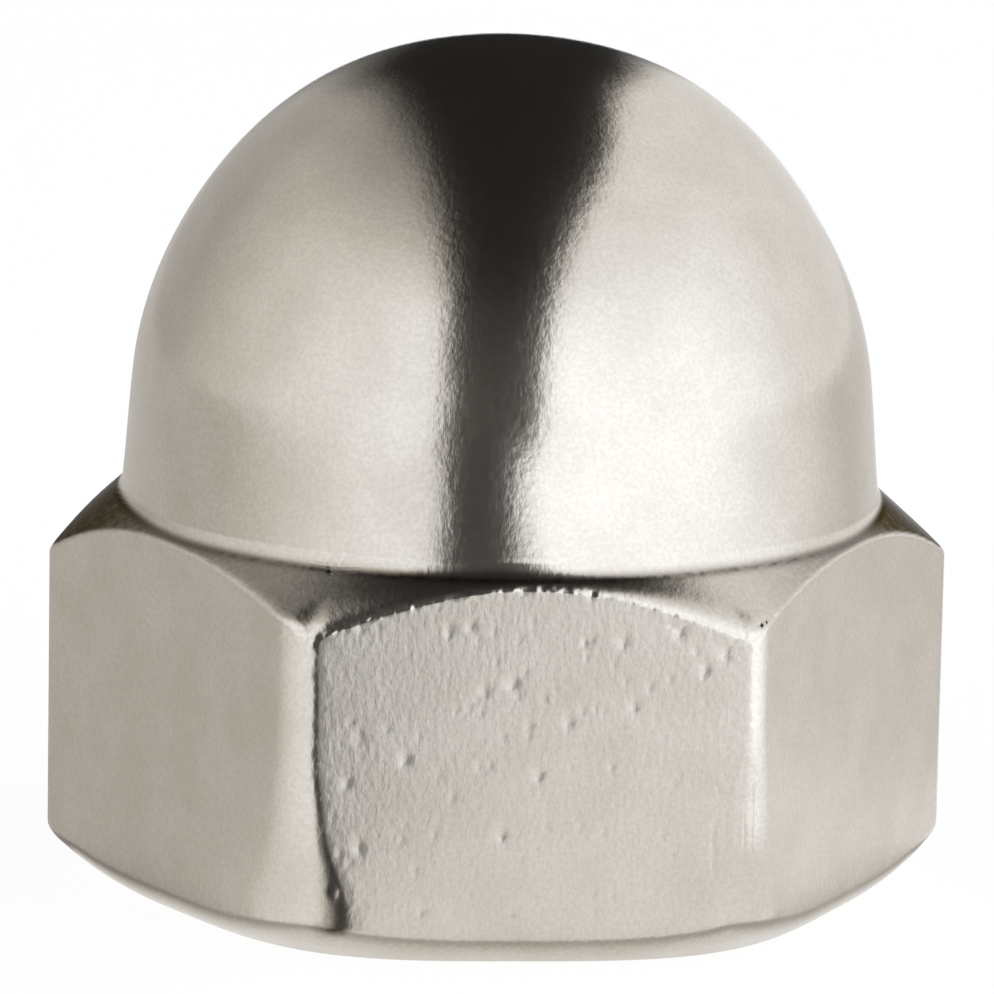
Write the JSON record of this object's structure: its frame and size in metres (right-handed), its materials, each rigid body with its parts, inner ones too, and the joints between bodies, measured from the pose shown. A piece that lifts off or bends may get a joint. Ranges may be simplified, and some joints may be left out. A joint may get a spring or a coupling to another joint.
{
  "type": "domed cap nut",
  "caption": "Hexagon cap nut with a tall domed crown, a chamfered hexagon and a blind metric thread, which covers and protects the end of a bolt or stud.",
  "frame": {"origin": "centre of the flat bearing face, on the axis of the thread", "axes": "+Z along the thread's axis from the bearing face to the crown, one spanner flat facing -Y, two corners on the X axis"},
  "size_m": [0.015, 0.013, 0.0142],
  "materials": {
    "nickel_steel": "warm grey nickel plate on steel, bright and lightly tumbled, with small dents and pits on the flats"
  },
  "bodies": {
    "root": {"cap_nut": "nickel_steel"}
  },
  "joints": []
}
